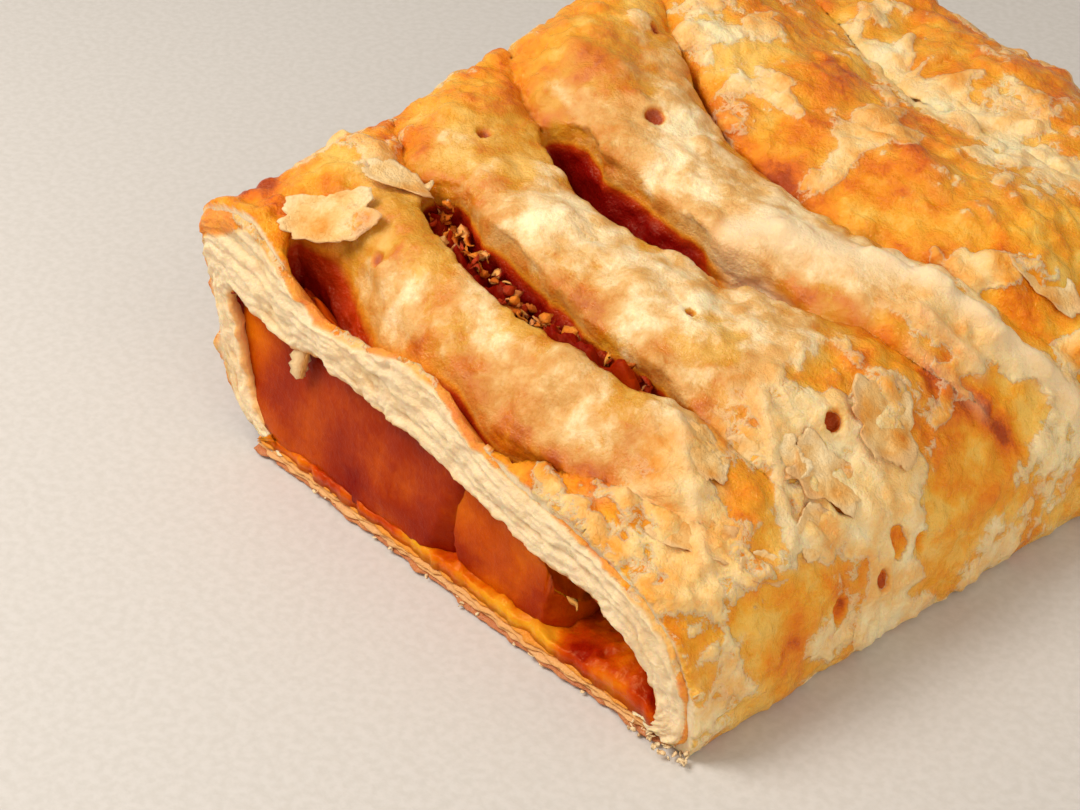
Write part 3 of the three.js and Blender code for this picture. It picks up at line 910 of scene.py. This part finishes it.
def make_jelly():
    """The bed of set juice, thick and lumpy along the cut."""
    pitch = 0.4
    xs = np.arange(-41.5, 42.5, pitch)
    ys = np.arange(CUT_Y + 0.1, 50, pitch)
    x, y = np.meshgrid(xs, ys, indexing="ij")
    front = np.exp(-((y - CUT_Y) / 4))
    lump = 0.5 * fbm(x, y, 0 * x, 3.0, 101, 3) + 0.3 * fbm(x, y, 0 * x, 1.2, 104, 2)
    high = JELLY_TOP - 0.6 + lump + 2.4 * blob(x, y, 36, CUT_Y + 5, 7, 6)
    high = np.minimum(high - front * 0.6, np.maximum(roof_height(x, y) - 0.4, 4))
    edge = np.minimum(xs[-1] - x, ys[-1] - y)
    high = np.maximum(high * arc(edge + 0.6, 3), 1.9)
    floor = np.full_like(high, JELLY_FLOOR)
    bulge = front * (0.4 * fbm(x, 0 * x, high, 2.0, 103, 2) - 0.1)
    left = np.maximum(section_side(1, high, 0) + 0.15, left_edge(y) + 7)
    right = right_edge(y) - 5 - 2.5 * step(y, 0, 20)
    top = np.stack([np.clip(x, left, right), y - bulge, high], axis=-1)
    base = np.stack([np.clip(x, -36, right), y - bulge, floor], axis=-1)
    nx, ny = x.shape
    i = np.arange(nx - 1)[:, None] * ny + np.arange(ny - 1)[None, :]
    up = np.stack([i, i + ny, i + ny + 1, i + 1], axis=-1).reshape(-1, 4)
    rim = np.concatenate([
        np.arange(nx) * ny,
        (nx - 1) * ny + np.arange(1, ny),
        np.arange(nx - 2, -1, -1) * ny + ny - 1,
        np.arange(ny - 2, 0, -1),
    ])
    nxt = np.roll(rim, -1)
    total = nx * ny
    side = np.stack([rim, rim + total, nxt + total, nxt], axis=1)
    faces = np.concatenate([up, up[:, ::-1] + total, side])
    points = np.concatenate([top.reshape(-1, 3), base.reshape(-1, 3)])
    px, py, pz = points.T
    # Painted light: the jelly's front within 1.5 mm of the cut, facing the lamp, is paler than the jelly
    # behind it.
    tone_and_shading = 0.6 + 0.5 * noise(px, py, pz, 6.0, 105) - 0.3 * step(-py, -CUT_Y - 1.5, -CUT_Y)
    return make_mesh("set_jelly", points, faces, dict(tone_and_shading=np.clip(tone_and_shading, 0, 1)))


# ---- Shreds and crumbs ---------------------------------------------------------------------
SHREDS_IN_SLIT = 150
CRUMBS = 60


def twig(start, end, half, bend, rng):
    """A thin bent four-sided strip from start to end."""
    count = 9
    t = np.linspace(0, 1, count)[:, None]
    start, end = np.array(start, dtype=float), np.array(end, dtype=float)
    along = (end - start) / np.linalg.norm(end - start)
    side = np.cross(along, rng.normal(size=3))
    side = side / np.linalg.norm(side)
    up = np.cross(along, side)
    line = mix(start, end, t) + bend * np.sin(np.pi * t) * up + 0.2 * bend * np.sin(9 * t) * side
    wide = half * (0.25 + np.sin(np.pi * t) ** 0.6) * (1 + 0.12 * rng.normal(size=(count, 1)))
    corners = [line + side * wide, line + up * 0.3 * half, line - side * wide, line - up * 0.3 * half]
    return np.stack(corners, axis=1).reshape(-1, 3), tube_faces(count, 4)


def make_shreds():
    """Threads of pastry stuck in the middle slit, the sliver in the mouth and crumbs at the foot."""
    rng = np.random.default_rng(23)
    points, faces, browns, soaks, pales = [], [], [], [], []
    total = 0

    def add(made, brown, juice_and_shade, pale):
        nonlocal total
        points.append(made[0])
        faces.append(made[1] + total)
        size = len(made[0])
        total += size
        for rows, value in ((browns, brown), (soaks, juice_and_shade), (pales, pale)):
            rows.append(np.full(size, value))

    slit = SLITS[1]
    for _ in range(SHREDS_IN_SLIT):
        x = rng.uniform(-24, 22)
        here = np.array([x])
        half = slit_half(slit, here)[0]
        y = slit_y(slit, here)[0] + rng.uniform(-0.3, 1.0) * half
        z = top_height(here, np.array([y]), 0.0)[0] + rng.uniform(-2.6, 0.6)
        reach = rng.uniform(0.6, 1.9, 3) * rng.choice([-1, 1], 3) * np.array([1.2, 0.6, 0.5])
        strand = twig((x, y, z), (x, y, z) + reach, rng.uniform(0.3, 0.8), rng.uniform(-0.9, 0.9), rng)
        add(strand, rng.uniform(0.75, 1.3), rng.choice([0.1, 0.45, 0.65]), rng.choice([0.0, 0.0, 0.2]))
    add(twig((-26.2, CUT_Y + 1.8, 20.4), (-26.8, CUT_Y + 0.9, 15.4), 1.1, 0.1, rng), 0.4, 0.1, 0.7)
    add(twig((-25.2, CUT_Y + 2.0, 20.2), (-26.2, CUT_Y + 1.2, 15.6), 0.9, -0.1, rng), 0.6, 0.2, 0.3)
    add(twig((23.5, CUT_Y + 3.0, 8.6), (26.5, CUT_Y + 2.0, 8.8), 0.3, 0.5, rng), 0.5, 0.25, 0.3)
    for _ in range(CRUMBS):
        foot = rng.choice([0, 1], p=[0.45, 0.55])
        x = rng.uniform(38, 47) if foot else rng.uniform(-36, 46)
        near = (x, CUT_Y - rng.uniform(-0.6, 1.2), rng.uniform(0.15, 1.2 if foot else 0.7))
        reach = rng.uniform(-0.8, 0.8, 3) * np.array([1, 1, 0.5]) + 0.15
        add(twig(near, near + reach, rng.uniform(0.15, 0.4), 0.1, rng), rng.uniform(0.1, 0.7), 0.0, 0.8)
    values = dict(brown=np.concatenate(browns), juice_and_shade=np.concatenate(soaks), pale=np.concatenate(pales))
    values.update(leaf=np.full(total, 0.3), soft=np.zeros(total))
    return make_mesh("pie_shreds", np.concatenate(points), np.concatenate(faces), values)


# ---- Materials -----------------------------------------------------------------------------
class Finish:
    """A material under construction."""

    def __init__(self, name):
        self.material = bpy.data.materials.new(name)
        self.material.use_nodes = True
        self.tree = self.material.node_tree
        self.surface = self.tree.nodes["Principled BSDF"]

    def node(self, kind, inputs, output=0, **settings):
        made = self.tree.nodes.new("ShaderNode" + kind)
        for key, value in settings.items():
            setattr(made, key, value)
        for key, value in inputs.items():
            self.feed(made.inputs[key], value)
        return made.outputs[output]

    def feed(self, socket, value):
        if isinstance(value, bpy.types.NodeSocket):
            self.tree.links.new(value, socket)
        else:
            socket.default_value = value

    def shade(self, **inputs):
        for key, value in inputs.items():
            self.feed(self.surface.inputs[key.replace("_", " ")], value)

    def value(self, name):
        return self.node("Attribute", {}, output="Fac", attribute_name=name)

    def where(self):
        return self.node("TexCoord", {}, output="Object")

    def invert(self, value):
        return self.math("SUBTRACT", 1.0, value)

    def vary(self, value, noise, amount):
        """A value with noise of 0 to 1 added around it."""
        return self.math("MULTIPLY_ADD", self.math("SUBTRACT", noise, 0.5), amount, value)

    def grain(self, wavelength, detail, rough, warp=0.0):
        """Noise from 0 to 1 with lumps of a wavelength in mm."""
        inputs = {"Vector": self.where(), "Scale": 1000 / wavelength}
        inputs.update({"Detail": detail, "Roughness": rough, "Distortion": warp})
        return self.node("TexNoise", inputs)

    def math(self, operation, a, b, c=0.0):
        return self.node("Math", {0: a, 1: b, 2: c}, operation=operation)

    def span(self, value, low, high, to_low=0.0, to_high=1.0):
        """Value remapped from one range to another, smoothly clamped."""
        inputs = {"Value": value, "From Min": low, "From Max": high, "To Min": to_low, "To Max": to_high}
        return self.node("MapRange", inputs, interpolation_type="SMOOTHSTEP")

    def mix(self, factor, a, b):
        return self.node("Mix", {0: factor, 6: a, 7: b}, output=2, data_type="RGBA")

    def ramp(self, value, *stops):
        """Colour from a value through stops (place, red, green, blue)."""
        out = self.node("ValToRGB", {"Fac": value})
        elements = out.node.color_ramp.elements
        while len(elements) < len(stops):
            elements.new(0.5)
        for element, (place, *color) in zip(elements, stops):
            element.position = place
            element.color = rgb(*color)
        return out

    def bump(self, height, distance):
        return self.node("Bump", {"Height": height, "Distance": distance * MM, "Strength": 1.0})


def rgb(red, green, blue):
    """Linear colour from sRGB values of 0 to 255."""
    parts = [v / 255 for v in (red, green, blue)]
    linear = [v / 12.92 if v <= 0.04045 else ((v + 0.055) / 1.055) ** 2.4 for v in parts]
    return (*linear, 1.0)


def pastry(name, thin=False):
    """Baked pastry; a thin leaf scatters no light sideways."""
    f = Finish(name)
    fine = f.grain(0.8, 4, 0.65)
    middle = f.grain(3.0, 4, 0.6, 0.4)
    ragged = f.grain(1.6, 5, 0.7, 0.4)
    soft = f.value("soft")
    leaf = f.vary(f.value("leaf"), ragged, 1.3)
    crisp = f.span(leaf, -0.12, 0.22)
    blurred = f.span(leaf, -0.4, 0.35)
    cover = f.node("Mix", {0: soft, 2: crisp, 3: blurred})
    brown = f.vary(f.vary(f.value("brown"), middle, 0.9), fine, 0.5)
    wet = f.ramp(brown, (0.0, 230, 176, 84), (0.3, 214, 146, 34), (0.6, 208, 112, 8), (1.0, 166, 60, 3))
    glazed = f.ramp(
        brown,
        (0.0, 252, 198, 90), (0.25, 252, 174, 44), (0.55, 246, 146, 14),
        (0.8, 230, 110, 6), (1.0, 176, 64, 4),
    )
    steamed = f.ramp(
        brown,
        (0.0, 255, 230, 182), (0.4, 224, 174, 104), (0.7, 208, 138, 54), (1.0, 196, 104, 24),
    )
    dry = f.ramp(
        brown,
        (0.0, 255, 228, 176), (0.4, 255, 208, 134), (0.8, 250, 168, 62), (1.0, 236, 124, 22),
    )
    color = f.mix(cover, f.mix(soft, glazed, wet), f.mix(soft, dry, steamed))
    # Pale rim along the torn edges of the outer leaf on crisp skin: partly the paler dough of a torn edge,
    # partly a painted highlight where the edges catch the light.
    rim = f.math("MULTIPLY", f.span(leaf, -0.02, 0.04), f.span(leaf, 0.2, 0.08))
    rim = f.math("MULTIPLY", rim, f.invert(soft))
    color = f.mix(f.math("MULTIPLY", rim, 0.6), color, rgb(255, 230, 186))
    pale = f.math("MULTIPLY", f.value("pale"), f.span(fine, 0.1, 0.6, 0.75, 1.0))
    color = f.mix(pale, color, rgb(240, 212, 168))
    # Juice stain and painted shade of the crust's inside: the deep red end of this ramp stands in for the
    # shade in the hollow and the slits.
    juice = f.ramp(
        f.value("juice_and_shade"),
        (0.0, 236, 176, 84), (0.25, 230, 146, 30), (0.55, 188, 52, 4), (1.0, 140, 10, 4),
    )
    juice_and_shade_amount = f.span(f.value("juice_and_shade"), 0.02, 0.35)
    color = f.mix(juice_and_shade_amount, color, juice)
    milky = f.math("MULTIPLY", soft, f.invert(juice_and_shade_amount))
    height = f.math("MULTIPLY_ADD", f.grain(0.4, 4, 0.7), 0.4, f.math("MULTIPLY", fine, 0.7))
    height = f.math("MULTIPLY_ADD", f.math("MULTIPLY", crisp, f.invert(soft)), 0.7, height)
    calm = f.math("MAXIMUM", f.math("MULTIPLY", soft, 0.45), f.math("MULTIPLY", f.value("pale"), 0.5))
    height = f.math("MULTIPLY", height, f.invert(calm))
    f.shade(
        Base_Color=color,
        Roughness=f.math("MULTIPLY_ADD", cover, 0.12, f.span(middle, 0.3, 0.7, 0.16, 0.3)),
        Specular_IOR_Level=f.span(cover, 0.0, 1.0, 0.5, 0.36),
        Specular_Tint=f.mix(milky, (1.0, 0.75, 0.45, 1.0), (1.0, 0.92, 0.78, 1.0)),
        Normal=f.bump(height, 0.5),
    )
    if not thin:
        f.shade(
            Subsurface_Weight=0.4,
            Subsurface_Scale=0.0012,
            Subsurface_Radius=(1.0, 0.5, 0.2),
        )
    return f.material


def filling(name, grain, spread, stops, rough, shine, tint, relief):
    """Juicy stuff: noise of a grain spreads its tone and lifts its surface."""
    f = Finish(name)
    lumps = f.grain(*grain)
    f.shade(
        Base_Color=f.ramp(f.vary(f.value("tone_and_shading"), lumps, spread), *stops),
        Roughness=rough,
        Specular_IOR_Level=shine,
        Specular_Tint=tint,
        Subsurface_Weight=0.35,
        Subsurface_Scale=0.002,
        Subsurface_Radius=(1.0, 0.3, 0.05),
        Normal=f.bump(lumps, relief),
    )
    return f.material


def apple():
    stops = ((0.0, 220, 108, 4), (0.3, 190, 74, 1), (0.6, 156, 42, 1), (1.0, 120, 6, 1))
    return filling("stewed_apple", (1.4, 5, 0.7), 0.5, stops, 0.38, 0.12, (1.0, 0.4, 0.1, 1.0), 0.2)


def jelly():
    stops = ((0.0, 224, 148, 26), (0.35, 212, 98, 2), (0.65, 186, 58, 1), (1.0, 148, 20, 1))
    return filling("set_juice", (2.5, 4, 0.6), 0.8, stops, 0.28, 0.2, (1.0, 0.5, 0.15, 1.0), 0.3)


def table_top():
    f = Finish("pale_floor")
    speck = f.grain(1.2, 2, 0.5)
    f.shade(
        Base_Color=f.mix(f.span(speck, 0.3, 0.7), rgb(201, 194, 185), rgb(208, 201, 193)),
        Roughness=0.55,
        Normal=f.bump(speck, 0.05),
    )
    return f.material


# ---- The pie -------------------------------------------------------------------------------
def place(piece, material, slot, *nodes):
    piece.data.materials.append(material)
    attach(piece, "root")
    if nodes:
        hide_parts(*nodes)


PASTRY = pastry("baked_pastry")
LEAF = pastry("pastry_leaf", thin=True)
APPLE = apple()
place(make_crust(), PASTRY, "baked_pastry", "crust")
place(make_cut_band(), PASTRY, "baked_pastry")
place(make_base_leaves(), LEAF, "baked_pastry")
place(make_flakes(), LEAF, "baked_pastry")
place(make_shreds(), LEAF, "baked_pastry")
place(make_jelly(), jelly(), "set_juice", "apple_jelly")
for index, spec in enumerate(SLICES):
    place(make_slice(index, *spec), APPLE, "stewed_apple", spec[0])


# ---- Stage ---------------------------------------------------------------------------------
FLOOR_SIZE = 3.0  # metres
FLOOR_GAP = 0.0002
SKY_STRENGTH = 0.38
SKY_COLOR = (1.0, 0.96, 0.91, 1.0)
# Name, direction from the pie, distance and size in metres, power and colour.
LIGHTS = [
    ("key", (-0.45, -0.62, 0.9), 0.5, 0.26, 2.15, (1.0, 0.98, 0.95)),
    ("fill", (0.9, -0.3, 0.5), 0.9, 0.7, 3.4, (1.0, 0.92, 0.8)),
]
CAMERA_AT = (190.03, -207.92, 182.97)
CAMERA_AZIMUTH = 49.2
CAMERA_ELEVATION = 33.5
LENS = 80
SENSOR = 36


def make_stage():
    bpy.ops.mesh.primitive_plane_add(size=FLOOR_SIZE, location=(0, 0, -FLOOR_GAP))
    floor = bpy.context.object
    floor.name = "floor"
    floor.data.materials.append(table_top())


def area_light(name, direction, distance, size, power, color):
    data = bpy.data.lights.new(name, "AREA")
    data.energy = power
    data.size = size
    data.color = color
    light = bpy.data.objects.new(name, data)
    away = Vector(direction).normalized()
    light.location = away * distance
    light.rotation_euler = away.to_track_quat("Z", "Y").to_euler()
    bpy.context.scene.collection.objects.link(light)


def make_lights():
    for light in LIGHTS:
        area_light(*light)
    world = bpy.data.worlds.new("studio")
    world.use_nodes = True
    sky = world.node_tree.nodes["Background"].inputs
    sky["Color"].default_value = SKY_COLOR
    sky["Strength"].default_value = SKY_STRENGTH
    bpy.context.scene.world = world


def make_camera():
    data = bpy.data.cameras.new("camera")
    data.lens = LENS
    data.sensor_width = SENSOR
    data.clip_start = 0.01
    camera = bpy.data.objects.new("camera", data)
    camera.location = Vector(CAMERA_AT) * MM
    tip = math.radians(90 - CAMERA_ELEVATION)
    camera.rotation_euler = (tip, 0, math.radians(CAMERA_AZIMUTH))
    bpy.context.scene.collection.objects.link(camera)
    bpy.context.scene.camera = camera


make_stage()
make_lights()
make_camera()
bpy.context.scene.view_settings.view_transform = "Standard"
